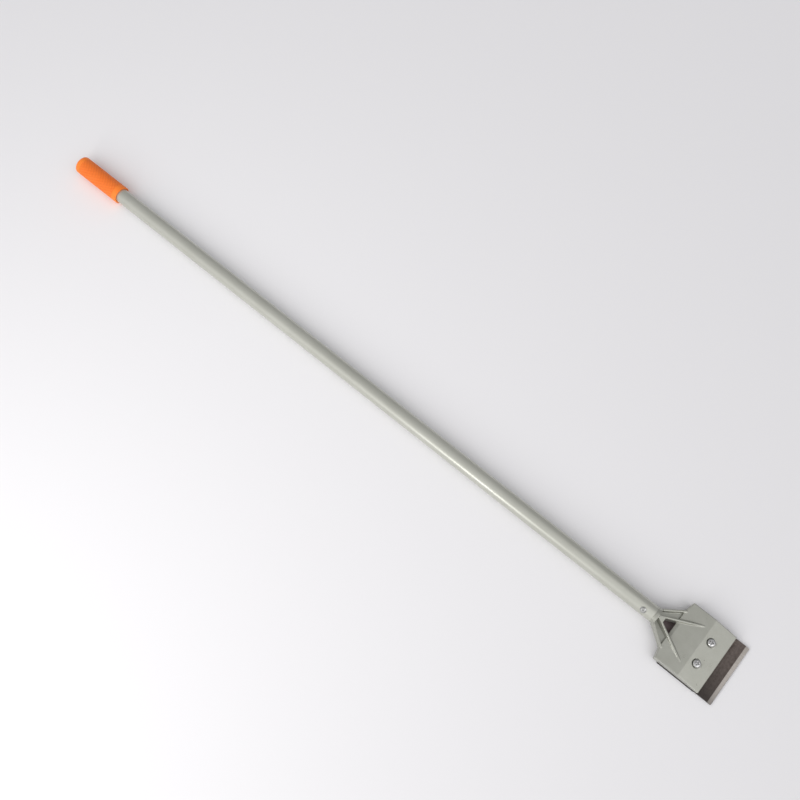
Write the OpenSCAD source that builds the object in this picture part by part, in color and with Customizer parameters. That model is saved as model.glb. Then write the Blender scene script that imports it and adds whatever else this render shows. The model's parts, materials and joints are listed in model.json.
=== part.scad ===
// Long-handled scraper: a tube handle with a grip, a cast head and a clamped, replaceable blade.
// It lies on the ground on its grip and on its clamp plate, with the handle and the blade level.
// X runs along the handle towards the blade, Y to the left and Z up. The origin is on the ground,
// under the middle of the overall length. Sizes are in millimetres and angles in degrees.

/* [Handle tube] */
// Outside diameter of the tube
tube_d = 25; // [24:0.5:28]
// Wall thickness of the tube
tube_wall = 1.2; // [1:0.1:2]
// Length of the tube
tube_l = 1200; // [400:10:1800]

/* [Grip] */
// Length of the grip over its closed end
grip_l = 100; // [60:1:160]
// Wall thickness of the grip
grip_wall = 3; // [2.5:0.5:4]
// Thickness of the closed end of the grip
grip_end = 3; // [2:0.5:5]
// Rounding of the closed end's edge
grip_round = 3; // [1:0.5:4]

/* [Blade] */
// Width of the blade
blade_w = 100; // [80:1:130]
// Depth of the blade from its cutting edge to its back edge
blade_depth = 60; // [58:1:66]
// Thickness of the blade
blade_t = 1.5; // [1:0.1:2]
// Length of the ground bevel behind the cutting edge
bevel_l = 6; // [3:0.5:10]
// Thickness left at the cutting edge
edge_t = 0.2; // [0.1:0.05:0.4]

/* [Head plate] */
// Width of the plate
plate_w = 99; // [90:1:99]
// Thickness of the plate
plate_t = 3.5; // [3:0.5:4]
// Height of the level rear panel's top above the ground
deck_z = 18.4; // [17.6:0.2:19]
// Slope of the front panel down towards the blade
panel_slope = 12; // [10:0.5:13]
// Distance from the cutting edge back to the plate's front edge
front_at = 23.8; // [20:0.2:26]
// Distance from the cutting edge back to the bend across the plate
bend_at = 60; // [58:1:62]
// Distance from the cutting edge back to the rear edge of the plate
rear_at = 102; // [98:1:106]
// Thickness of the walls that hang from the plate
skirt_t = 3; // [2.5:0.5:4]

/* [Head neck] */
// Distance from the cutting edge back to the end of the tube
neck_at = 133; // [130:1:145]
// Outside diameter of the collar that the tube butts against
collar_d = 25.6; // [25.4:0.2:27]
// Length of the collar
collar_l = 6; // [4:0.5:8]
// Length of the spigot inside the tube
spigot_l = 45; // [30:1:70]
// Bore of the hollow spigot
spigot_bore = 14; // [12:0.5:15]
// Distance from the cutting edge back to the narrow end of the window between the ribs
window_at = 118; // [116:1:120]
// Half the distance between the outer flanges where they meet the plate
flange_y = 32; // [30:0.5:34]
// Half the distance between the two ribs where they run out on the plate
rib_end_y = 31; // [29:1:32]
// Distance from the cutting edge back to the point where the ribs run out
rib_end_at = 69; // [66:1:72]

/* [Clamp plate] */
// Thickness of the clamp plate where the blade lies on it
clamp_t = 2; // [2:0.1:2.5]
// Width of the clamp plate
clamp_w = 100.6; // [80:0.2:100.6]
// Distance from the cutting edge back to the clamp plate's front edge
clamp_front = 29; // [27:1:34]
// Distance from the cutting edge back to the rear edge of the clamp plate's heel
clamp_rear = 90; // [88:1:94]

/* [Fasteners] */
// Diameter of the clamp screws
screw_d = 6; // [5:1:6]
// Length of the clamp screws under the head
screw_l = 14; // [13.5:0.5:14]
// Diameter of the screw heads
head_d = 12; // [10:0.5:13]
// Height of the screw heads
head_h = 4.6; // [3.5:0.1:5]
// Distance between the two clamp screws
screw_pitch = 37; // [30:1:44]
// Distance from the cutting edge back to the clamp screws
screw_at = 48.3; // [47:0.1:50]
// Diameter of the press nuts' barrels
nut_d = 9; // [8.5:0.5:9.5]
// Height of the press nuts
nut_h = 6; // [5:0.5:6.5]
// Thickness of the toothed lock washers
washer_t = 0.7; // [0.5:0.1:0.8]
// Diameter of the rivet's shank
rivet_d = 4.8; // [4:0.2:4.8]
// Diameter of the rivet's flange
rivet_head_d = 9.5; // [8:0.5:11]
// Distance from the cutting edge back to the rivet
rivet_at = 149.5; // [145:0.5:160]
// Turn of the rivet from the top of the tube to the right
rivet_roll = 38; // [0:1:60]

/* [Hidden] */
$fn = 96;
hull_fn = 32;
overall_l = neck_at + tube_l + grip_end;
edge_x = overall_l / 2;
tube_end_x = edge_x - neck_at;
grip_d = tube_d + 2 * grip_wall;
axis_z = grip_d / 2;
tube_bore = tube_d - 2 * tube_wall;
slide_gap = 0.02;
spigot_gap = 0.05;
shank_gap = 0.05;
hole_gap = 0.1;
slot_gap = 0.3;
overlap = 0.5;
skin = 0.1;

// Heights of the level faces, from the ground up: the blade, the head over it and the screws' seats
blade_low = clamp_t + slide_gap;
heel_top = blade_low + blade_t;
seat_z = heel_top + slide_gap;
deck_low = deck_z - plate_t;
boss_z = 14.8;
washer_low = boss_z + slide_gap;
head_low = washer_low + washer_t;

// Height of the front panel's top at a distance behind the cutting edge
function panel_z(at) = deck_z - (bend_at - at) * tan(panel_slope);

// Parts of the cast neck: the ribs and flanges fan out from the front of the collar
fan_at = neck_at - collar_l;
arm_low = 9.5;
web_t = 4.5;
rib_foot_w = 6;
rib_top_w = 2.4;
rib_start_y = 0.5;
rib_start_z = 26;
rib_end_low = deck_low + 0.5;
flange_foot_w = 5;
flange_top_w = 3;
flange_start_y = 12;
flange_start_z = 22;
flange_end_z = deck_z + 0.4;
lip_l = 4;
lip_drop = 1.6;
lip_t = 2.2;
corner_cut = 3.7;

// Parts inside the head: bars across it and a boss for each screw
bar_l = 6;
bar_w = plate_w - 2 * skirt_t + 2 * overlap;
boss_d = 15;
boss_top_d = head_d + 1.6;
nut_pocket_d = nut_d + 1.2;
nut_pocket_h = 0.4;

// Parts of the clamp plate: its heel stands clear of the blade, its tongue lies under the window
heel_gap = 0.5;
tongue_root = 17;
tongue_tip = 7;
tongue_end_at = 119;

// Distance of a rib's middle from the tool's middle, and height of its crest
function rib_y(at) = rib_start_y + (rib_end_y - rib_start_y) * (fan_at - at) / (fan_at - rib_end_at);
function rib_z(at) = rib_start_z + (deck_z - rib_start_z) * (fan_at - at) / (fan_at - rib_end_at);

// Half the space left between the ribs' feet
rib_foot_y = rib_foot_w / 2 / cos(atan2(rib_end_y - rib_start_y, fan_at - rib_end_at));
function foot_space(at) = rib_y(at) - rib_foot_y;

// Parts of the fasteners
recess_l = 6.6;
recess_w = 1.6;
recess_depth = 2.4;
head_round = 3.2;
tooth_count = 10;
tooth_space = 1;
tooth_root_d = 9.8;
washer_d = 11;
nut_flange_d = 11;
nut_flange_t = 1;
flange_dome = 1.6;
flange_edge = 0.4;
flange_sag = 1;
flange_top_d = rivet_head_d - 4;
bulb_d = 6.8;
bulb_h = 3.4;
bulb_gap = 1;
bulb_low = spigot_bore / 2 - bulb_gap - bulb_h;
mandrel_d = 2.7;
mandrel_head_d = 4.4;
mandrel_head_h = 2;
mandrel_low = bulb_low - hole_gap - mandrel_head_h;
stem_recess = 0.4;

// Places its children on the handle's axis, with their Z pointing towards the blade
module on_axis(x) translate([x, 0, axis_z]) rotate([0, 90, 0]) children();

// Places its children behind the middle of the cutting edge, level with the ground
module behind_edge() translate([edge_x, 0, 0]) children();

// Places its children on the axis of a clamp screw: side is 1 for the left one, -1 for the right one
module on_screw(side) behind_edge() translate([-screw_at, side * screw_pitch / 2, 0]) children();

// Places its children on the rivet's axis, with Z pointing out of the tube's middle
module on_rivet() translate([edge_x - rivet_at, 0, axis_z]) rotate([rivet_roll, 0, 0]) children();

// Extrudes a side view, given as distance ahead of the edge and height, across the tool
module across(width) rotate([90, 0, 0]) linear_extrude(width, center = true) children();

module ring(outer_d, inner_d, length) difference() {
    cylinder(d = outer_d, h = length);
    translate([0, 0, -overlap]) cylinder(d = inner_d, h = length + 2 * overlap);
}

module handle_tube() color("silver") difference() {
    on_axis(tube_end_x - tube_l) ring(tube_d, tube_bore, tube_l);
    on_rivet() cylinder(d = rivet_d + 2 * hole_gap, h = tube_d);
}

// One closed sleeve, with a rounded edge around its closed end
module hand_grip() color("darkorange") on_axis(-overall_l / 2) rotate_extrude() difference() {
    union() {
        square([grip_d / 2 - grip_round, grip_round]);
        translate([grip_d / 2 - grip_round, grip_round]) circle(grip_round);
        translate([0, grip_round]) square([grip_d / 2, grip_l - grip_round]);
    }
    translate([0, grip_end]) square([tube_d / 2 + slide_gap, grip_l]);
    translate([-grip_d, 0]) square([grip_d, grip_l]);
}

// A cast wall with draft between two posts, each [x, y, foot height, top height]
module cast_wall(post_a, post_b, foot_w, top_w) hull() for (post = [post_a, post_b]) {
    translate([post[0], post[1], post[2]]) cylinder(d = foot_w, h = skin, $fn = hull_fn);
    translate([post[0], post[1], post[3] - skin]) cylinder(d = top_w, h = skin, $fn = hull_fn);
}

// The two-panel plate: the front panel slopes down towards the blade and the rear panel is level
module plate_panels() intersection() {
    across(plate_w) polygon([
        [-front_at, panel_z(front_at)], [-bend_at, deck_z], [-rear_at, deck_z], [-rear_at, deck_low],
        [-bend_at, deck_low], [-front_at, panel_z(front_at) - plate_t]
    ]);
    linear_extrude(deck_z + overlap) plate_outline(0);
}

// Outline of the plate from above, moved inwards by the inset
module plate_outline(inset) polygon([for (side = [1, -1], p = side > 0 ? [0, 1, 2] : [2, 1, 0])
    [[-front_at - inset, side * (plate_w / 2 - inset)],
     [-rear_at + corner_cut + inset, side * (plate_w / 2 - inset)],
     [-rear_at + inset, side * (flange_y - inset)]][p]
]);

// The walls that hang from the plate's edges, down to the level of the blade's top
module skirt() intersection() {
    translate([0, 0, seat_z]) linear_extrude(deck_z) difference() {
        plate_outline(0);
        plate_outline(skirt_t);
    }
    across(plate_w) polygon([
        [-front_at, 0], [-front_at, panel_z(front_at)], [-bend_at, deck_z], [-rear_at, deck_z],
        [-rear_at, 0]
    ]);
}

// A bar across the head from wall to wall, level with the foot of the walls
module bar(at) translate([-at, -bar_w / 2, seat_z])
    cube([bar_l, bar_w, panel_z(min(at - bar_l, bend_at)) - plate_t + overlap - seat_z]);

// The solid wedge between the ribs, from the collar to the window
module neck_wedge() hull() for (side = [1, -1], at = [fan_at, window_at + rib_top_w / 2])
    translate([-at, side * rib_y(at), arm_low])
        cylinder(d = rib_top_w, h = rib_z(at) - arm_low, $fn = hull_fn);

// The slope cut on the plate's rear edge, between the feet of the two ribs
module lip_bevel() intersection() {
    across(plate_w) polygon([
        [-rear_at - lip_l, deck_z + lip_drop], [-rear_at - lip_l, deck_z - 2 * lip_drop],
        [-rear_at + 2 * lip_l, deck_z + lip_drop]
    ]);
    linear_extrude(2 * deck_z) polygon([
        [-rear_at - overlap, foot_space(rear_at)], [-rear_at + lip_l, foot_space(rear_at - lip_l)],
        [-rear_at + lip_l, -foot_space(rear_at - lip_l)], [-rear_at - overlap, -foot_space(rear_at)]
    ]);
}

// One arm: a floor between an outer flange and a rib that runs out on the plate
module arm(side) {
    translate([0, 0, arm_low]) linear_extrude(web_t) polygon([
        [-fan_at, side * rib_start_y], [-rear_at + overlap, side * rib_y(rear_at - overlap)],
        [-rear_at + overlap, side * flange_y], [-fan_at, side * flange_start_y]
    ]);
    cast_wall([-fan_at, side * flange_start_y, arm_low, flange_start_z],
              [-rear_at + flange_top_w / 2, side * flange_y, arm_low, flange_end_z],
              flange_foot_w, flange_top_w);
    cast_wall([-fan_at, side * rib_start_y, arm_low, rib_start_z],
              [-rib_end_at, side * rib_end_y, rib_end_low, deck_z + skin],
              rib_foot_w, rib_top_w);
}

module head_casting() color("darkgray") difference() {
    union() {
        on_axis(tube_end_x - spigot_l) cylinder(d = tube_bore - 2 * spigot_gap, h = spigot_l + overlap);
        on_axis(tube_end_x) cylinder(d = collar_d, h = collar_l);
        behind_edge() {
            neck_wedge();
            for (side = [1, -1]) arm(side);
            plate_panels();
            skirt();
            for (at = [screw_at + bar_l / 2, blade_depth, clamp_rear]) bar(at);
        }
        for (side = [1, -1])
            on_screw(side) translate([0, 0, seat_z]) cylinder(d = boss_d, h = boss_z - seat_z);
    }
    on_axis(tube_end_x - spigot_l - overlap) cylinder(d = spigot_bore, h = spigot_l + overlap);
    on_rivet() cylinder(d = rivet_d + 2 * hole_gap, h = tube_d / 2);
    for (side = [1, -1]) on_screw(side) {
        cylinder(d = nut_pocket_d, h = nut_h + nut_pocket_h);
        cylinder(d = screw_d + 2 * hole_gap, h = deck_z);
        translate([0, 0, boss_z]) cylinder(d = boss_top_d, h = deck_z);
    }
    behind_edge() {
        lip_bevel();
        translate([-rear_at - overlap, -foot_space(rear_at), seat_z - overlap])
            cube([2 * skirt_t, 2 * foot_space(rear_at), deck_z - lip_drop - lip_t - seat_z + overlap]);
    }
}

// Steel blade, ground on its upper face, with two slots open at its back edge
module scraper_blade() color("dimgray") behind_edge() translate([0, 0, blade_low]) difference() {
    across(blade_w) polygon([
        [0, 0], [0, edge_t], [-bevel_l, blade_t], [-blade_depth, blade_t], [-blade_depth, 0]
    ]);
    for (side = [1, -1]) translate([-screw_at, side * screw_pitch / 2, -overlap]) {
        cylinder(d = nut_d + 2 * slot_gap, h = blade_t + 2 * overlap);
        translate([-blade_depth, -nut_d / 2 - slot_gap, 0])
            cube([blade_depth, nut_d + 2 * slot_gap, blade_t + 2 * overlap]);
    }
}

// Steel plate under the blade, with a heel as thick as both and a tongue under the head's window
module clamp_plate() color("dimgray") difference() {
    behind_edge() {
        across(clamp_w) polygon([
            [-clamp_front, 0], [-clamp_front, clamp_t], [-blade_depth - heel_gap, clamp_t],
            [-blade_depth - heel_gap, heel_top], [-clamp_rear, heel_top], [-clamp_rear, 0]
        ]);
        translate([0, 0, heel_top - clamp_t]) linear_extrude(clamp_t) polygon([
            [-clamp_rear + overlap, tongue_root], [-tongue_end_at, tongue_tip],
            [-tongue_end_at, -tongue_tip], [-clamp_rear + overlap, -tongue_root]
        ]);
    }
    for (side = [1, -1]) on_screw(side) translate([0, 0, -overlap]) {
        cylinder(d = nut_d + 2 * shank_gap, h = clamp_t + 2 * overlap);
        cylinder(d = nut_flange_d + 2 * shank_gap, h = nut_flange_t + shank_gap + overlap);
    }
}

// Pan-head screw with a cross recess: its head rests on its washer, its shank reaches into the nut
module clamp_screw(side) color("lightgray") on_screw(side) translate([0, 0, head_low])
difference() {
    union() {
        rotate_extrude() intersection() {
            hull() {
                square([head_d / 2, skin]);
                translate([0, head_h - skin]) square([head_d / 2 - head_round, skin]);
                translate([head_d / 2 - head_round, head_h - head_round])
                    circle(head_round, $fn = hull_fn);
            }
            square([head_d / 2, head_h]);
        }
        translate([0, 0, -screw_l]) cylinder(d = screw_d, h = screw_l + overlap);
    }
    for (turn = [0, 90]) rotate([0, 0, turn]) translate([0, 0, head_h])
        cube([recess_l, recess_w, 2 * recess_depth], center = true);
}

// Toothed lock washer between the head's boss and the screw's head
module lock_washer(side) color("lightgray") on_screw(side) translate([0, 0, washer_low])
difference() {
    cylinder(d = washer_d, h = washer_t - slide_gap);
    translate([0, 0, -overlap]) cylinder(d = screw_d + 2 * slot_gap, h = washer_t + 2 * overlap);
    for (i = [0 : tooth_count - 1]) rotate([0, 0, 360 * i / tooth_count])
        translate([0, -tooth_space / 2, -overlap])
            cube([tooth_root_d / 2, tooth_space, washer_t + 2 * overlap]);
}

// Press nut: its flange lies in the clamp plate, its barrel stands in the blade's slot
module clamp_nut(side) color("lightgray") on_screw(side) difference() {
    union() {
        cylinder(d = nut_flange_d, h = nut_flange_t);
        cylinder(d = nut_d, h = nut_h);
    }
    translate([0, 0, -overlap]) cylinder(d = screw_d + 2 * shank_gap, h = nut_h + 2 * overlap);
}

// Set blind rivet: a flange drawn down on the tube and a bulb inside the spigot
module tube_rivet() color("gainsboro") on_rivet() difference() {
    union() {
        difference() {
            translate([0, 0, tube_d / 2 - flange_sag])
                cylinder(d = rivet_head_d, h = flange_sag + flange_edge);
            rotate([0, 90, 0]) cylinder(d = tube_d + 2 * slide_gap, h = tube_d, center = true);
        }
        translate([0, 0, tube_d / 2 + flange_edge])
            cylinder(d1 = rivet_head_d, d2 = flange_top_d, h = flange_dome - flange_edge);
        translate([0, 0, bulb_low]) cylinder(d = rivet_d, h = tube_d / 2 + flange_edge - bulb_low);
        translate([0, 0, bulb_low]) cylinder(d = bulb_d, h = bulb_h);
    }
    cylinder(d = mandrel_d + 2 * slide_gap, h = tube_d);
}

// Broken-off stem of the rivet, with its head pulled into the bulb
module rivet_mandrel() color("gray") on_rivet() {
    translate([0, 0, mandrel_low]) {
        cylinder(d = mandrel_d, h = tube_d / 2 + flange_dome - stem_recess - mandrel_low);
        cylinder(d = mandrel_head_d, h = mandrel_head_h);
    }
}

handle_tube();
hand_grip();
head_casting();
scraper_blade();
clamp_plate();
clamp_screw(1);  // left_clamp_screw
clamp_screw(-1);  // right_clamp_screw
lock_washer(1);  // left_lock_washer
lock_washer(-1);  // right_lock_washer
clamp_nut(1);  // left_clamp_nut
clamp_nut(-1);  // right_clamp_nut
tube_rivet();
rivet_mandrel();
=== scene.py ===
import json
import math

import bmesh
import bpy
from mathutils import Matrix, Quaternion, Vector


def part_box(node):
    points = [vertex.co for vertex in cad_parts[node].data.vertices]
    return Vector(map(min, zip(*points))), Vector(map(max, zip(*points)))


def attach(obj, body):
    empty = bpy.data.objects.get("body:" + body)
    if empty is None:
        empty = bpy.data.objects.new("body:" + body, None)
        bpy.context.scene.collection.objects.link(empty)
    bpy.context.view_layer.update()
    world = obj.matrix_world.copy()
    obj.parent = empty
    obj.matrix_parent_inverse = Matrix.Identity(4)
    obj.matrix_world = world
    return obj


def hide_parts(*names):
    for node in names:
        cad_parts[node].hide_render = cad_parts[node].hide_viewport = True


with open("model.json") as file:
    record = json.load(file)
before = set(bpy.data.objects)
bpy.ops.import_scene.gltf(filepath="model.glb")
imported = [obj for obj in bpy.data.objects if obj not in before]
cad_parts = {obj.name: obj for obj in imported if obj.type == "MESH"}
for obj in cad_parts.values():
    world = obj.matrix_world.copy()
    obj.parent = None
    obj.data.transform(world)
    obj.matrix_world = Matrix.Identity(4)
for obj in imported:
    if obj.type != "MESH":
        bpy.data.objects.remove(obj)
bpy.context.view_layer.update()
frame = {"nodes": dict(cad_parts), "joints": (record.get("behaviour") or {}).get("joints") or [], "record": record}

MM = 0.001
NODES = frame["nodes"]
JOINTS = {joint["name"]: joint for joint in frame["joints"]}
BODY_OF = {
    node: body
    for body, members in frame["record"]["behaviour"]["bodies"].items()
    for node in members
}
SLOT_OF = {part["node"]: part["material_slot"] for part in frame["record"]["subparts"]}

# Places read from the frame: X runs along the handle, Z up
TUBE_LOW, TUBE_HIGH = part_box("handle_tube")
GRIP_LOW, GRIP_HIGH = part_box("hand_grip")
AXIS_Z = (TUBE_LOW.z + TUBE_HIGH.z) / 2
TUBE_R = (TUBE_HIGH.z - TUBE_LOW.z) / 2
GRIP_R = (GRIP_HIGH.z - GRIP_LOW.z) / 2
BLADE_OUT = Vector(JOINTS["blade_slide"]["axis"])
BLADE_HALF_W = 50 * MM


# ---------------------------------------------------------------- material nodes

def map_range(tree, value, low, high, to_low, to_high):
    """Maps low..high of a node's output to to_low..to_high, held at its ends."""
    node = tree.nodes.new("ShaderNodeMapRange")
    for socket, number in zip(("From Min", "From Max", "To Min", "To Max"),
                              (low, high, to_low, to_high)):
        node.inputs[socket].default_value = number
    tree.links.new(value, node.inputs["Value"])
    return node.outputs[0]


def calculate(tree, operation, first, second):
    """Works out one value from two, each a number or a node's output."""
    node = tree.nodes.new("ShaderNodeMath")
    node.operation = operation
    for socket, value in zip(node.inputs, (first, second)):
        if isinstance(value, (int, float)):
            socket.default_value = value
        else:
            tree.links.new(value, socket)
    return node.outputs[0]


class Graph:
    """Short calls that build one procedural material around its Principled shader."""

    def __init__(self, name):
        self.material = bpy.data.materials.new(name)
        self.material.use_nodes = True
        self.tree = self.material.node_tree
        self.nodes = self.tree.nodes
        self.links = self.tree.links
        self.shader = self.nodes["Principled BSDF"]
        self.place = self.nodes.new("ShaderNodeTexCoord").outputs["Object"]

    def set(self, socket, value):
        self.shader.inputs[socket].default_value = value

    def link(self, output, socket):
        self.links.new(output, self.shader.inputs[socket])

    def stretched(self, scale):
        """The piece's own coordinates, scaled along each axis."""
        mapping = self.nodes.new("ShaderNodeMapping")
        mapping.inputs["Scale"].default_value = scale
        self.links.new(self.place, mapping.inputs["Vector"])
        return mapping.outputs[0]

    def noise(self, scale, detail=3, roughness=0.5, stretch=None):
        noise = self.nodes.new("ShaderNodeTexNoise")
        noise.inputs["Scale"].default_value = scale
        noise.inputs["Detail"].default_value = detail
        noise.inputs["Roughness"].default_value = roughness
        self.links.new(self.stretched(stretch) if stretch else self.place, noise.inputs["Vector"])
        return noise.outputs["Fac"]

    def across(self, low, high):
        """How far across the tool a point is, from 0 at low to 1 at high, held at its ends."""
        axes = self.nodes.new("ShaderNodeSeparateXYZ")
        self.links.new(self.place, axes.inputs[0])
        return self.spread(axes.outputs["Y"], low, high)

    def attribute(self, name):
        attribute = self.nodes.new("ShaderNodeAttribute")
        attribute.attribute_name = name
        return attribute.outputs["Fac"]

    def spread(self, value, low, high, to_low=0.0, to_high=1.0):
        return map_range(self.tree, value, low, high, to_low, to_high)

    def times(self, first, second):
        return calculate(self.tree, "MULTIPLY", first, second)

    def mix(self, factor, first, second):
        """Mixes two colours, each an (r, g, b) or another mix."""
        node = self.nodes.new("ShaderNodeMix")
        node.data_type = "RGBA"
        self.links.new(factor, node.inputs["Factor"])
        for socket, value in ((node.inputs[6], first), (node.inputs[7], second)):
            if isinstance(value, tuple):
                socket.default_value = (*value, 1)
            else:
                self.links.new(value, socket)
        return node.outputs[2]

    def product(self, first, second):
        """Two colours multiplied."""
        node = self.nodes.new("ShaderNodeMix")
        node.data_type = "RGBA"
        node.blend_type = "MULTIPLY"
        node.inputs["Factor"].default_value = 1.0
        self.links.new(first, node.inputs[6])
        self.links.new(second, node.inputs[7])
        return node.outputs[2]

    def bump(self, height, strength, distance, under=None):
        node = self.nodes.new("ShaderNodeBump")
        node.inputs["Strength"].default_value = strength
        node.inputs["Distance"].default_value = distance
        self.links.new(height, node.inputs["Height"])
        if under is not None:
            self.links.new(under, node.inputs["Normal"])
        self.link(node.outputs[0], "Normal")
        return node.outputs[0]


def tube_paint():
    """Satin silver paint on drawn tube: fine flake, faint draw lines along it and a slight ripple."""
    graph = Graph("tube_paint")
    graph.set("Metallic", 0.5)
    graph.set("Coat Weight", 0.25)
    graph.set("Coat Roughness", 0.2)
    clouds = graph.spread(graph.noise(14, 3), 0.3, 0.7)
    flake = graph.spread(graph.noise(5200, 2), 0.35, 0.65)
    lines = graph.noise(420, 3, 0.6, (0.02, 1, 1))
    base = graph.mix(clouds, (0.47, 0.475, 0.415), (0.52, 0.525, 0.465))
    graph.link(graph.mix(graph.times(flake, 0.22), base, (0.62, 0.62, 0.565)), "Base Color")
    graph.link(graph.spread(lines, 0.3, 0.7, 0.3, 0.38), "Roughness")
    ripple = graph.bump(graph.noise(620, 2), 0.12, 0.05 * MM)
    graph.bump(lines, 0.18, 0.03 * MM, ripple)
    return graph.material


def head_paint():
    """The same paint over a die casting: sandy skin and pooled paint in soft clouds."""
    graph = Graph("head_paint")
    graph.set("Metallic", 0.62)
    graph.set("Coat Weight", 0.15)
    graph.set("Coat Roughness", 0.3)
    clouds = graph.spread(graph.noise(60, 4), 0.3, 0.7)
    flake = graph.spread(graph.noise(5200, 2), 0.35, 0.65)
    base = graph.mix(clouds, (0.375, 0.38, 0.328), (0.425, 0.43, 0.378))
    graph.link(graph.mix(graph.times(flake, 0.22), base, (0.55, 0.55, 0.5)), "Base Color")
    graph.link(graph.spread(clouds, 0, 1, 0.27, 0.35), "Roughness")
    skin = graph.bump(graph.noise(1300, 3), 0.35, 0.06 * MM)
    graph.bump(graph.noise(160, 3), 0.25, 0.25 * MM, skin)
    return graph.material


def grip_vinyl():
    """Soft orange vinyl with painted shade down in the lattice's grooves, and a fine dull grain."""
    graph = Graph("grip_vinyl")
    graph.set("Specular IOR Level", 0.4)
    clouds = graph.spread(graph.noise(45, 3), 0.3, 0.7)
    base = graph.mix(clouds, (0.94, 0.215, 0.022), (1.0, 0.25, 0.032))
    # Painted shade: the groove depth darkens the vinyl down in the grooves
    graph.link(graph.mix(graph.attribute("groove"), base, (0.7, 0.11, 0.012)), "Base Color")
    graph.link(graph.spread(graph.noise(1500, 3), 0.3, 0.7, 0.45, 0.6), "Roughness")
    graph.bump(graph.noise(3200, 3), 0.3, 0.03 * MM)
    return graph.material


def blade_steel():
    """Dark tempered steel with an oiled, brownish scale and rolling streaks across its width. Its
    base colour holds a painted reflection, lighter towards its left and darker towards its right."""
    graph = Graph("blade_steel")
    graph.set("Metallic", 0.75)
    mottle = graph.spread(graph.noise(240, 5, 0.65), 0.32, 0.68)
    streaks = graph.spread(graph.noise(260, 4, 0.6, (1, 0.06, 1)), 0.3, 0.7)
    base = graph.mix(mottle, (0.05, 0.038, 0.031), (0.11, 0.088, 0.073))
    worn = graph.mix(graph.times(streaks, 0.4), base, (0.15, 0.125, 0.11))
    # Painted reflection: a colour ramp across the width, lighter towards the blade's left
    painted_reflection = graph.mix(graph.across(-BLADE_HALF_W, BLADE_HALF_W), (0.4, 0.42, 0.44), (1.95, 2.0, 2.1))
    graph.link(graph.product(worn, painted_reflection), "Base Color")
    graph.link(graph.spread(mottle, 0, 1, 0.38, 0.55), "Roughness")
    fine = graph.bump(graph.noise(1800, 3, 0.5, (1, 0.1, 1)), 0.25, 0.02 * MM)
    graph.bump(graph.noise(300, 4), 0.2, 0.05 * MM, fine)
    return graph.material


def ground_steel():
    """The blade's ground bevel: bright steel with fine wheel marks square to the edge. Like the rest of
    the blade, its colour holds a painted reflection, lighter towards its left."""
    graph = Graph("ground_steel")
    graph.set("Metallic", 1.0)
    marks = graph.noise(2600, 3, 0.6, (0.03, 1, 0.03))
    tone = graph.spread(marks, 0.3, 0.7)
    # Painted reflection: a colour ramp across the width, lighter towards the blade's left
    painted_reflection = graph.mix(graph.across(-BLADE_HALF_W, BLADE_HALF_W), (0.42, 0.42, 0.42), (1.85, 1.85, 1.83))
    graph.link(graph.product(graph.mix(tone, (0.3, 0.275, 0.25), (0.46, 0.43, 0.4)), painted_reflection), "Base Color")
    graph.link(graph.spread(marks, 0.3, 0.7, 0.28, 0.46), "Roughness")
    graph.bump(marks, 0.3, 0.02 * MM)
    return graph.material


def clamp_steel():
    """Dark phosphated strip: dull, finely crystalline, with lighter rubbed patches and painted shade that makes
    its long sides near-black.
    """
    graph = Graph("clamp_steel")
    graph.set("Metallic", 0.55)
    crystals = graph.spread(graph.noise(1600, 3, 0.7), 0.3, 0.7)
    patches = graph.spread(graph.noise(70, 4), 0.42, 0.7)
    base = graph.mix(crystals, (0.14, 0.103, 0.106), (0.28, 0.22, 0.225))
    base = graph.mix(graph.times(patches, 0.5), base, (0.38, 0.31, 0.315))
    # Painted shade: the strip's long sides are coloured near-black
    side, inside = 50.3 * MM, 42 * MM
    middle = graph.times(graph.across(-side, -inside), graph.across(side, inside))
    graph.link(graph.mix(middle, (0.03, 0.028, 0.028), base), "Base Color")
    graph.link(graph.spread(crystals, 0, 1, 0.5, 0.68), "Roughness")
    graph.bump(crystals, 0.25, 0.03 * MM)
    return graph.material


def zinc_steel():
    """Bright zinc plate with a faint blue and straw cloud and small plating grain."""
    graph = Graph("zinc_steel")
    graph.set("Metallic", 1.0)
    cloud = graph.spread(graph.noise(420, 3), 0.35, 0.65)
    graph.link(graph.mix(cloud, (0.56, 0.57, 0.58), (0.68, 0.67, 0.645)), "Base Color")
    graph.link(graph.spread(graph.noise(2200, 3), 0.3, 0.7, 0.1, 0.2), "Roughness")
    graph.bump(graph.noise(2600, 2), 0.12, 0.02 * MM)
    return graph.material


def rivet_aluminium():
    """Bare aluminium, slightly dulled, with fine marks from the setting tool."""
    graph = Graph("rivet_aluminium")
    graph.set("Metallic", 1.0)
    marks = graph.spread(graph.noise(1500, 4, 0.6), 0.3, 0.7)
    graph.link(graph.mix(marks, (0.38, 0.385, 0.37), (0.52, 0.52, 0.5)), "Base Color")
    graph.link(graph.spread(marks, 0, 1, 0.24, 0.4), "Roughness")
    graph.bump(marks, 0.15, 0.03 * MM)
    return graph.material


def mandrel_steel():
    """Broken steel stem: grey and grainy where it snapped."""
    graph = Graph("mandrel_steel")
    graph.set("Metallic", 0.9)
    grain = graph.spread(graph.noise(4200, 3, 0.7), 0.3, 0.7)
    graph.link(graph.mix(grain, (0.18, 0.18, 0.18), (0.42, 0.42, 0.41)), "Base Color")
    graph.link(graph.spread(grain, 0, 1, 0.4, 0.6), "Roughness")
    graph.bump(grain, 0.5, 0.08 * MM)
    return graph.material


MATERIALS = {
    make.__name__: make()
    for make in (tube_paint, head_paint, grip_vinyl, blade_steel, clamp_steel, zinc_steel,
                 rivet_aluminium, mandrel_steel)
}


# ---------------------------------------------------------------- camera, floor and light

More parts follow.
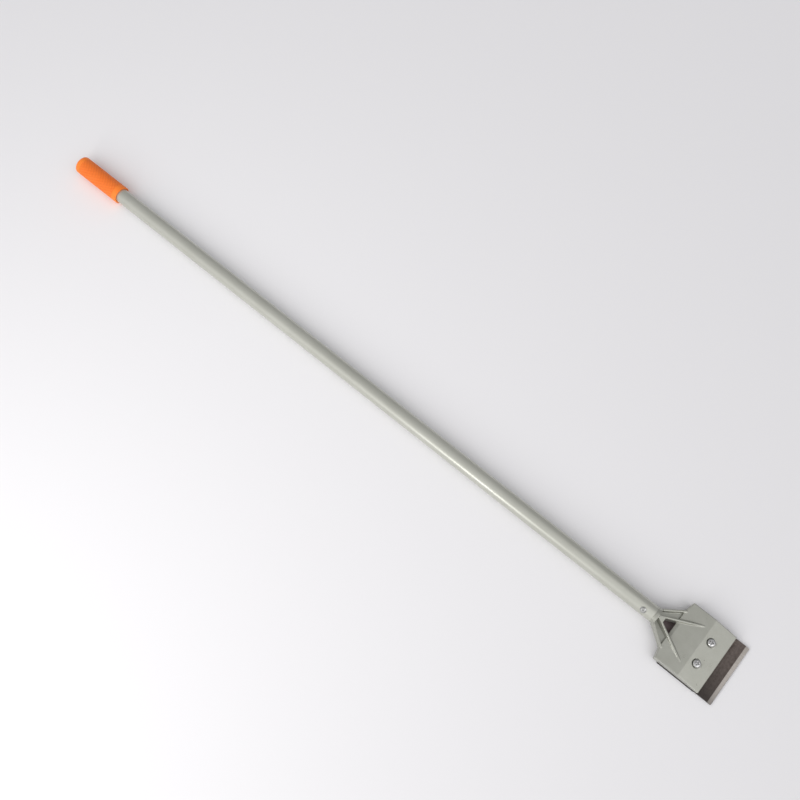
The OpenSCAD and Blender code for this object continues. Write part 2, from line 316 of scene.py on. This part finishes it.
CAMERA_AIM = Vector((0.038, 0.0225, 0.0))
CAMERA_AZIMUTH = math.radians(43.17)
CAMERA_ELEVATION = math.radians(69.21)
CAMERA_DISTANCE = 1.497
CAMERA_ROLL = math.radians(-3.24)
CAMERA_LENS = 42.5
SENSOR_WIDTH = 36.0


def make_camera():
    """The photograph's view: steeply down on the tool, from its right and from the blade's end."""
    back = Vector((
        math.sin(CAMERA_AZIMUTH) * math.cos(CAMERA_ELEVATION),
        -math.cos(CAMERA_AZIMUTH) * math.cos(CAMERA_ELEVATION),
        math.sin(CAMERA_ELEVATION),
    ))
    data = bpy.data.cameras.new("camera")
    data.lens = CAMERA_LENS
    data.sensor_width = SENSOR_WIDTH
    camera = bpy.data.objects.new("camera", data)
    bpy.context.scene.collection.objects.link(camera)
    camera.location = CAMERA_AIM + CAMERA_DISTANCE * back
    camera.rotation_mode = "QUATERNION"
    camera.rotation_quaternion = (-back).to_track_quat("-Z", "Y") @ Quaternion((0, 0, 1), CAMERA_ROLL)
    bpy.context.scene.camera = camera


def make_softbox(name, place, aim, size, power, mirrored=True):
    """A warm white panel that shines at a point. Shiny metal mirrors it, unless mirrored is off."""
    data = bpy.data.lights.new(name, "AREA")
    data.shape = "RECTANGLE"
    data.size, data.size_y = size
    data.energy = power
    data.color = (1.0, 0.99, 0.98)
    lamp = bpy.data.objects.new(name, data)
    bpy.context.scene.collection.objects.link(lamp)
    lamp.location = place
    lamp.rotation_mode = "QUATERNION"
    lamp.rotation_quaternion = (Vector(aim) - Vector(place)).to_track_quat("-Z", "Y")
    lamp.visible_camera = False
    lamp.visible_glossy = mirrored


def make_world():
    """An even studio, with a broad glow beyond the blade and a small one nearly overhead."""
    world = bpy.data.worlds.new("studio")
    bpy.context.scene.world = world
    world.use_nodes = True
    tree = world.node_tree
    coordinates = tree.nodes.new("ShaderNodeTexCoord")
    axes = tree.nodes.new("ShaderNodeSeparateXYZ")
    tree.links.new(coordinates.outputs["Generated"], axes.inputs[0])

    def ramp(axis, low, high, to_low, to_high):
        return map_range(tree, axes.outputs[axis], low, high, to_low, to_high)

    def times(first, second):
        return calculate(tree, "MULTIPLY", first, second)

    def plus(first, second):
        return calculate(tree, "ADD", first, second)

    # The dome is brightest some 20 degrees up, and brighter on the key light's side than opposite it
    height = times(ramp("Z", 0.0, 0.35, 0.5, 1.0), ramp("Z", 0.35, 1.0, 0.84, 0.53))
    dome = times(height, ramp("Y", -0.7, 0.7, 1.1, 0.5))
    key_side = times(height, ramp("Y", -0.85, -0.4, 0.3, 0.0))
    # One glow stands beyond the blade, and one nearly overhead leans towards the blade
    beyond = times(ramp("X", 0.2, 0.6, 0.0, 1.5), ramp("Y", -0.1, 0.55, 1.0, 0.0))
    beyond = times(beyond, ramp("Z", 0.4, 0.7, 0.0, 1.0))
    overhead = times(ramp("X", -0.05, 0.15, 0.0, 0.45), ramp("Z", 0.8, 0.92, 0.0, 1.0))
    strength = plus(plus(dome, key_side), plus(beyond, overhead))
    background = tree.nodes["Background"]
    background.inputs["Color"].default_value = (0.985, 0.98, 1.0, 1)
    tree.links.new(strength, background.inputs["Strength"])


def make_stage():
    """A wide, level sheet of pale paper that the tool lies on."""
    mesh = bpy.data.meshes.new("floor")
    made = bmesh.new()
    bmesh.ops.create_circle(made, cap_ends=True, segments=64, radius=9.0)
    made.to_mesh(mesh)
    made.free()
    floor = bpy.data.objects.new("floor", mesh)
    bpy.context.scene.collection.objects.link(floor)
    graph = Graph("pale_paper")
    graph.set("Base Color", (0.86, 0.855, 0.863, 1))
    graph.set("Roughness", 0.92)
    graph.set("Specular IOR Level", 0.25)
    graph.bump(graph.noise(900, 4), 0.1, 0.05 * MM)
    mesh.materials.append(graph.material)


# ---------------------------------------------------------------- mesh helpers

# Edges sharper than these stay sharp in the shading of machined, cast and threaded pieces
EDGE_ANGLE = math.radians(35)
SKIN_ANGLE = math.radians(60)
THREAD_ANGLE = math.radians(30)


def show(name, mesh, node, smooth_angle=EDGE_ANGLE):
    """Puts a finished mesh in the scene in place of a CAD node, on that node's body. A mesh without
    a material gets the one of the node's slot."""
    piece = bpy.data.objects.new(name, mesh)
    bpy.context.scene.collection.objects.link(piece)
    if not mesh.materials:
        mesh.materials.append(MATERIALS[SLOT_OF[node]])
    mesh.shade_smooth()
    mesh.set_sharp_from_angle(angle=smooth_angle)
    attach(piece, BODY_OF[node])
    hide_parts(node)
    return piece


def welded_copy(node):
    """A clean closed copy of a CAD node's mesh, with its flat faces whole again."""
    made = bmesh.new()
    made.from_mesh(NODES[node].data)
    bmesh.ops.remove_doubles(made, verts=made.verts, dist=0.002 * MM)
    bmesh.ops.dissolve_limit(made, angle_limit=math.radians(0.4), verts=made.verts, edges=made.edges)
    bmesh.ops.recalc_face_normals(made, faces=made.faces)
    mesh = bpy.data.meshes.new(node)
    made.to_mesh(mesh)
    made.free()
    return mesh


def with_modifiers(mesh, *settings):
    """The mesh after a stack of modifiers, each given as (type, {property: value})."""
    carrier = bpy.data.objects.new("carrier", mesh)
    bpy.context.scene.collection.objects.link(carrier)
    for kind, properties in settings:
        modifier = carrier.modifiers.new(kind.lower(), kind)
        for name, value in properties.items():
            setattr(modifier, name, value)
    ready = carrier.evaluated_get(bpy.context.evaluated_depsgraph_get())
    result = bpy.data.meshes.new_from_object(ready)
    bpy.data.objects.remove(carrier)
    return result


def softened(mesh, width, segments=2):
    """The mesh with its sharp edges rounded over."""
    return with_modifiers(mesh, ("BEVEL", {
        "width": width, "segments": segments, "limit_method": "ANGLE",
        "angle_limit": math.radians(28), "harden_normals": False,
    }))


def cast(mesh, voxel, passes):
    """The mesh as one skin with every edge and inside corner rounded, as cast or rolled metal has."""
    return with_modifiers(
        mesh,
        ("REMESH", {"mode": "VOXEL", "voxel_size": voxel, "adaptivity": 0.0}),
        ("SMOOTH", {"factor": 0.5, "iterations": passes}),
    )


def revolve(profile, segments, sink=None, loop=False):
    """A solid of revolution about Z through (radius, height) points. sink(turn, radius, height) is how
    far a point moves in towards the axis. A loop closes on its first point, as a tube's wall does."""
    made = bmesh.new()
    rings = []
    for radius, height in profile:
        if radius == 0:
            rings.append([made.verts.new((0, 0, height))])
            continue
        ring = []
        for i in range(segments):
            turn = math.tau * i / segments
            r = radius - (sink(turn, radius, height) if sink else 0)
            ring.append(made.verts.new((r * math.cos(turn), r * math.sin(turn), height)))
        rings.append(ring)
    for lower, upper in zip(rings, rings[1:] + rings[:1] if loop else rings[1:]):
        for i in range(segments):
            corners = [lower[i % len(lower)], lower[(i + 1) % len(lower)],
                       upper[(i + 1) % len(upper)], upper[i % len(upper)]]
            # A point on the axis is its whole ring, and then the face is a triangle
            made.faces.new(dict.fromkeys(corners))
    bmesh.ops.recalc_face_normals(made, faces=made.faces)
    mesh = bpy.data.meshes.new("revolved")
    made.to_mesh(mesh)
    made.free()
    return mesh


def corner(centre, radius, start, end, steps=6):
    """Points of an arc in a profile, from one angle to another in degrees."""
    angles = [math.radians(start + (end - start) * i / steps) for i in range(steps + 1)]
    return [(centre[0] + radius * math.cos(a), centre[1] + radius * math.sin(a)) for a in angles]


def cut(mesh, *tools):
    """The mesh less each tool mesh."""
    carriers = []
    for tool in tools:
        carrier = bpy.data.objects.new("tool", tool)
        bpy.context.scene.collection.objects.link(carrier)
        carriers.append(carrier)
    result = with_modifiers(mesh, *[
        ("BOOLEAN", {"operation": "DIFFERENCE", "solver": "EXACT", "object": carrier})
        for carrier in carriers
    ])
    for carrier in carriers:
        bpy.data.objects.remove(carrier)
    return result


def along_x(x):
    """Stands a revolved mesh on the handle's axis, its Z towards the blade."""
    return Matrix.Translation((x, 0, AXIS_Z)) @ Matrix.Rotation(math.radians(90), 4, "Y")


def along(origin, axis):
    """Stands a mesh at a point with its Z along an axis and its X towards the blade."""
    z = Vector(axis).normalized()
    x = (BLADE_OUT - BLADE_OUT.dot(z) * z).normalized()
    y = z.cross(x)
    turn = Matrix((x, y, z)).transposed().to_4x4()
    return Matrix.Translation(origin) @ turn


def reach(node, origin, axis):
    """Lowest and highest point of a CAD node along an axis, from the origin."""
    heights = [(vertex.co - Vector(origin)).dot(Vector(axis)) for vertex in NODES[node].data.vertices]
    return min(heights), max(heights)


# ---------------------------------------------------------------- handle

TUBE_WALL = 1.2 * MM


def make_tube():
    """Straight drawn tube, its ends cut square and lightly broken. The hole for the rivet is left
    out, because the rivet's flange covers it."""
    inner = TUBE_R - TUBE_WALL
    length = TUBE_HIGH.x - TUBE_LOW.x
    edge = 0.35 * MM
    profile = (
        corner((inner + edge, edge), edge, 180, 270)
        + corner((TUBE_R - edge, edge), edge, 270, 360)
        + corner((TUBE_R - edge, length - edge), edge, 0, 90)
        + corner((inner + edge, length - edge), edge, 90, 180)
    )
    mesh = revolve(profile, segments=180, loop=True)
    mesh.transform(along_x(TUBE_LOW.x))
    show("tube", mesh, "handle_tube")


# The grip's lattice: grooves that wind both ways, between a bare stretch at each end
LATTICE_STARTS = 28
LATTICE_PITCH = 4.4 * MM
LATTICE_DEPTH = 0.38 * MM
LATTICE_BARE = 9 * MM
LATTICE_FADE = 1.5 * MM
GROOVE_HALF_SHARE = 0.22
POINTS_PER_START = 10


def groove(turn, height):
    """Depth of the grip's crossed grooves, from 0 between them to 1 along their middle lines."""
    length = GRIP_HIGH.x - GRIP_LOW.x
    from_end = min(height, length - height) - LATTICE_BARE
    band = min(1, max(0, from_end / LATTICE_FADE))
    deepest = 0
    for hand in (1, -1):
        phase = LATTICE_STARTS * turn / math.tau + hand * height / LATTICE_PITCH
        off = abs(phase - round(phase))
        deepest = max(deepest, 1 - min(1, off / GROOVE_HALF_SHARE))
    return band * deepest * deepest * (3 - 2 * deepest)


def make_grip():
    """Closed vinyl sleeve with a lattice of shallow grooves between its plain end and its plain lip."""
    length = GRIP_HIGH.x - GRIP_LOW.x
    wall_end = 3 * MM
    end_round = 3 * MM
    lip = 0.8 * MM
    inner = TUBE_R + 0.02 * MM
    step = 0.42 * MM
    start, stop = LATTICE_BARE - step, length - LATTICE_BARE + step
    count = round((stop - start) / step)
    outer = [(GRIP_R, start + (stop - start) * i / count) for i in range(count + 1)]
    profile = (
        [(0, 0)]
        + corner((GRIP_R - end_round, end_round), end_round, 270, 360, 10)
        + outer
        + corner((GRIP_R - lip, length - lip), lip, 0, 90)
        + corner((inner + lip, length - lip), lip, 90, 180)
        + [(inner, wall_end), (0, wall_end)]
    )

    def sink(turn, radius, height):
        return LATTICE_DEPTH * groove(turn, height) if radius == GRIP_R else 0

    mesh = revolve(profile, LATTICE_STARTS * POINTS_PER_START, sink)
    # The grooves' depth, kept for the painted shade in the grip's material
    depth = mesh.attributes.new("groove", "FLOAT", "POINT")
    for i, vertex in enumerate(mesh.vertices):
        x, y, height = vertex.co
        outside = math.hypot(x, y) > inner + lip
        depth.data[i].value = groove(math.atan2(y, x), height) if outside else 0
    mesh.transform(along_x(GRIP_LOW.x))
    show("grip", mesh, "hand_grip")


# ---------------------------------------------------------------- head

# A face of the ground bevel has a normal whose upward part lies between these
BEVEL_LEAST_UP = 0.9
BEVEL_MOST_UP = 0.995


def make_head():
    """The head as one cast skin."""
    mesh = cast(welded_copy("head_casting"), voxel=0.45 * MM, passes=5)
    show("head", mesh, "head_casting", SKIN_ANGLE)


def make_blade():
    """The blade, with its ground bevel in a second, bright finish."""
    mesh = softened(welded_copy("scraper_blade"), 0.07 * MM)
    mesh.materials.append(MATERIALS["blade_steel"])
    mesh.materials.append(ground_steel())
    for face in mesh.polygons:
        sloping = BEVEL_LEAST_UP < face.normal.z < BEVEL_MOST_UP
        if sloping and face.normal.dot(BLADE_OUT) > 0:
            face.material_index = 1
    show("blade", mesh, "scraper_blade")


def make_clamp():
    """The clamp plate with well-rounded sheared edges."""
    mesh = softened(welded_copy("clamp_plate"), 0.3 * MM, segments=3)
    show("clamp_strip", mesh, "clamp_plate")


# ---------------------------------------------------------------- fasteners

SCREW_R = 3 * MM
SCREW_HEAD_R = 6 * MM
SCREW_HEAD_H = 4.6 * MM
SCREW_HEAD_EDGE = 0.3 * MM
SCREW_HEAD_DOME = 3.2 * MM
SCREW_HEAD_SINK = 0.2 * MM
SCREW_TIP = 0.5 * MM
THREAD_PITCH = 1 * MM
THREAD_DEPTH = 0.5 * MM
THREAD_FLAT = 0.1
RINGS_PER_PITCH = 8


def thread_sink(turn, height):
    """A right-hand V thread cut into the shank, with a slightly flat crest and root."""
    phase = (height / THREAD_PITCH - turn / math.tau) % 1
    depth = (1 + 2 * THREAD_FLAT) * (1 - abs(2 * phase - 1)) - THREAD_FLAT
    return THREAD_DEPTH * min(1, max(0, depth))


# Each bar of the cross recess is longer and wider at the screw's top than at the recess's foot
RECESS_DEPTH = 2.6 * MM
RECESS_REACH = 3.3 * MM
RECESS_REACH_FOOT = 1.1 * MM
RECESS_HALF = 0.85 * MM
RECESS_HALF_FOOT = 0.55 * MM


def cross_arm(top, turn):
    """One tapered bar of the cross recess, from above the screw's top down to the recess's foot."""
    over = 1 * MM
    slope = (RECESS_REACH - RECESS_REACH_FOOT) / RECESS_DEPTH
    spin = Matrix.Rotation(math.radians(turn), 3, "Z")
    made = bmesh.new()
    ends = []
    for height, reach_out, half in ((top + over, RECESS_REACH + slope * over, RECESS_HALF),
                                    (top - RECESS_DEPTH, RECESS_REACH_FOOT, RECESS_HALF_FOOT)):
        ends.append([made.verts.new(spin @ Vector((sx * reach_out, sy * half, height)))
                     for sx, sy in ((1, 1), (-1, 1), (-1, -1), (1, -1))])
    made.faces.new(ends[0])
    made.faces.new(ends[1][::-1])
    for i in range(4):
        j = (i + 1) % 4
        made.faces.new((ends[0][j], ends[0][i], ends[1][i], ends[1][j]))
    bmesh.ops.recalc_face_normals(made, faces=made.faces)
    mesh = bpy.data.meshes.new("cross_arm")
    made.to_mesh(mesh)
    made.free()
    return mesh


def make_screw(side):
    """Pan-head screw with a cross recess and a full thread, standing on its joint's axis."""
    joint = JOINTS[side + "_screw_turn"]
    low, high = reach(side + "_clamp_screw", joint["pos_m"], joint["axis"])
    seat = high - SCREW_HEAD_H
    foot = seat + 0.001 * MM
    edge_r = SCREW_HEAD_R - SCREW_HEAD_EDGE
    dome_r = SCREW_HEAD_R - SCREW_HEAD_DOME
    head = revolve(
        [(0, foot), (edge_r, foot)]
        + corner((edge_r, seat + SCREW_HEAD_EDGE), SCREW_HEAD_EDGE, 270, 360, 4)
        + corner((dome_r, high - SCREW_HEAD_DOME), SCREW_HEAD_DOME, 0, 90, 16)
        + [(0, high)],
        segments=72,
    )
    head = cut(head, *[cross_arm(high, turn) for turn in (0, 90)])
    head = cast(head, voxel=0.14 * MM, passes=3)

    # The shank ends a little inside the head, and its tip is chamfered
    root = seat + SCREW_HEAD_SINK
    rings = round((seat - low) / (THREAD_PITCH / RINGS_PER_PITCH))
    shank = [(SCREW_R, low + (root - low) * i / rings) for i in range(rings + 1)]

    def sink(turn, radius, height):
        return max(thread_sink(turn, height), SCREW_TIP - (height - low))

    body = revolve([(0, low)] + shank + [(0, root)], 48, sink)
    joined = bmesh.new()
    joined.from_mesh(head)
    joined.from_mesh(body)
    mesh = bpy.data.meshes.new(side + "_screw")
    joined.to_mesh(mesh)
    joined.free()
    mesh.transform(along(joint["pos_m"], joint["axis"]))
    show(side + "_screw", mesh, side + "_clamp_screw", THREAD_ANGLE)


def make_fasteners():
    """Each side's screw, press nut and toothed washer."""
    for side in ("left", "right"):
        make_screw(side)
        for node, name, width in ((side + "_clamp_nut", side + "_nut", 0.12 * MM),
                                  (side + "_lock_washer", side + "_washer", 0.05 * MM)):
            show(name, softened(welded_copy(node), width), node)


def make_rivet():
    """The set rivet and the broken stem inside it."""
    mesh = cast(welded_copy("tube_rivet"), voxel=0.11 * MM, passes=4)
    show("rivet", mesh, "tube_rivet", SKIN_ANGLE)
    mesh = softened(welded_copy("rivet_mandrel"), 0.12 * MM)
    show("rivet_stem", mesh, "rivet_mandrel")


make_camera()
make_world()
make_softbox("key", place=(-0.26, -0.95, 1.0), aim=(0, 0, 0), size=(0.8, 0.8), power=5.6, mirrored=False)
make_softbox("strip", place=(0.06, -1.85, 0.75), aim=(0.1, 0, 0), size=(0.16, 0.5), power=4.25)
make_stage()
make_tube()
make_grip()
make_head()
make_blade()
make_clamp()
make_fasteners()
make_rivet()
bpy.context.scene.view_settings.view_transform = "Standard"
